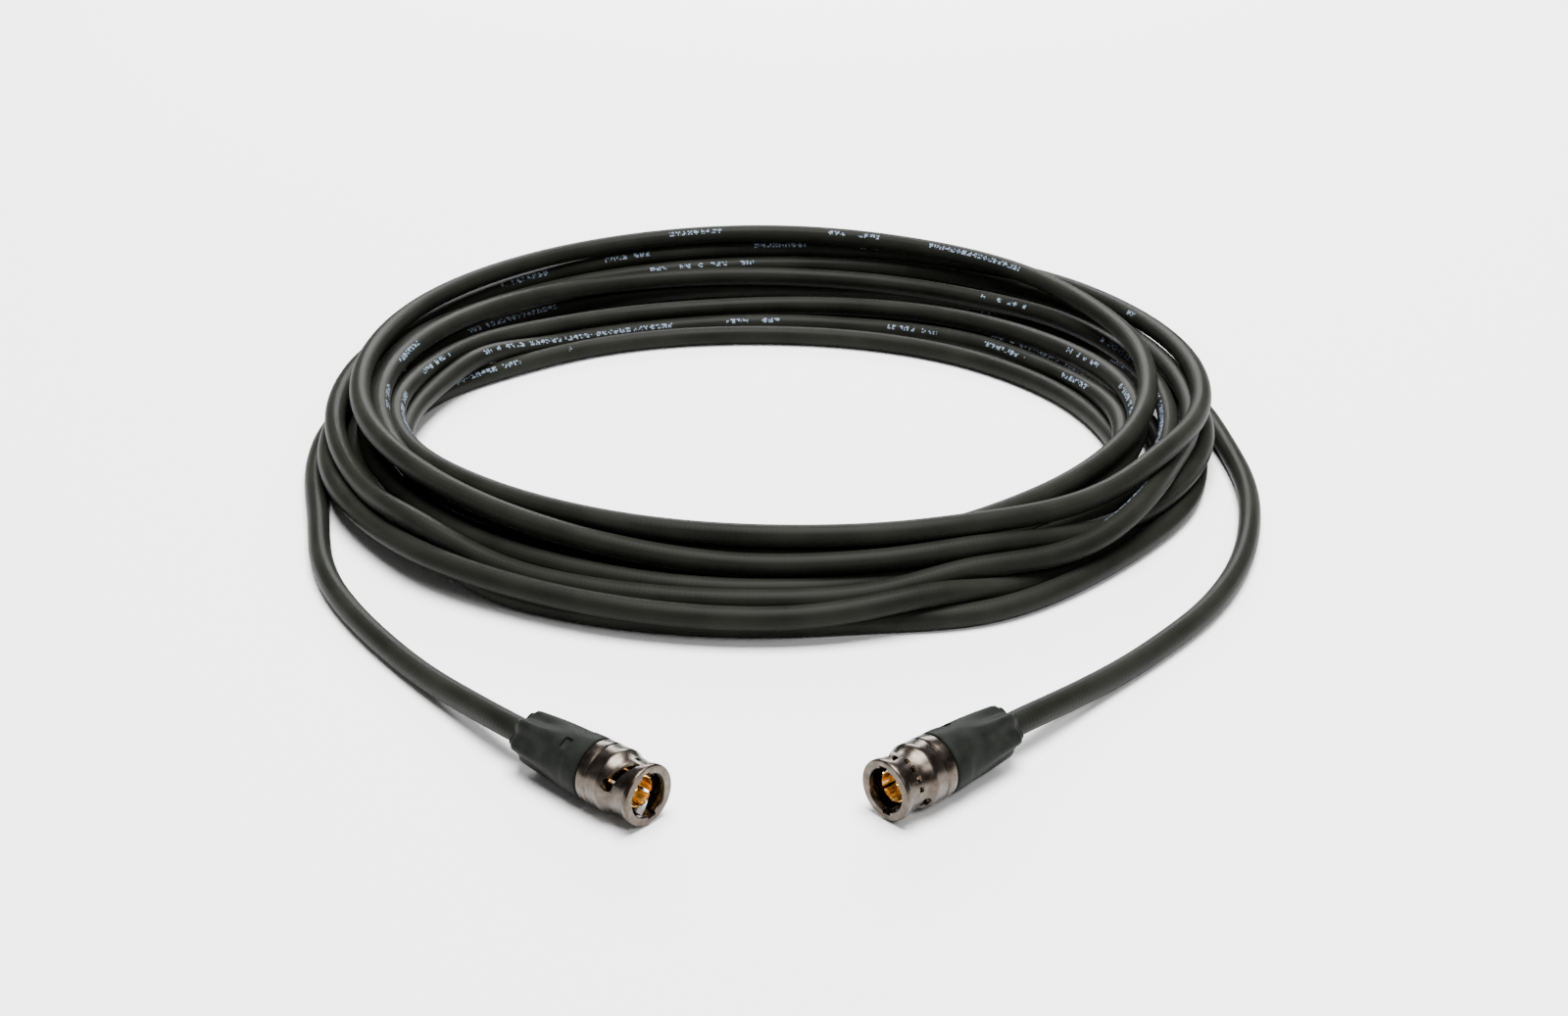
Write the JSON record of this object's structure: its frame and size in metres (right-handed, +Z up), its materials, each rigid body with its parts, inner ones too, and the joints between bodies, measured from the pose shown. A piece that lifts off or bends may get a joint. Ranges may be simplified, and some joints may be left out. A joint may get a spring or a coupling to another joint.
{
  "type": "coiled coaxial video cable with bayonet plugs",
  "caption": "Black coaxial video lead wound in a loose flat coil, with a bayonet plug and a finned boot on each end.",
  "frame": {"origin": "on the coil's axis, on the floor that the lead lies on", "axes": "+Z up along the coil's axis, +X to the right, -Y towards the two plugs, which lie in front of the coil"},
  "size_m": [0.2758, 0.3498, 0.0272],
  "materials": {
    "cable_jacket": "matt extruded jacket, faint braid showing through",
    "boot_moulding": "fine satin moulding",
    "plug_metal": "dark nickel, turned and polished",
    "contact_gold": "bright gold plating",
    "insulator": "smooth white dielectric"
  },
  "bodies": {
    "lead": {"cable_coil": "cable_jacket", "tail_a": "cable_jacket", "tail_b": "cable_jacket", "plug_a_body": "plug_metal", "plug_a_contact": "contact_gold", "plug_a_insulator": "insulator", "plug_a_pin": "contact_gold", "plug_b_body": "plug_metal", "plug_b_contact": "contact_gold", "plug_b_insulator": "insulator", "plug_b_pin": "contact_gold"},
    "coupling_a": {"plug_a_sleeve": "plug_metal", "plug_a_boot": "boot_moulding"},
    "coupling_b": {"plug_b_sleeve": "plug_metal", "plug_b_boot": "boot_moulding"}
  },
  "joints": [
    {"name": "coupling_a_turn", "type": "hinge", "parent": "lead", "child": "coupling_a", "pos_m": [-0.0233, -0.2107, 0.0075], "axis": [0.749, -0.6626, 0], "continuous": true},
    {"name": "coupling_b_turn", "type": "hinge", "parent": "lead", "child": "coupling_b", "pos_m": [0.0274, -0.2087, 0.0075], "axis": [-0.7385, -0.6743, 0], "continuous": true}
  ]
}
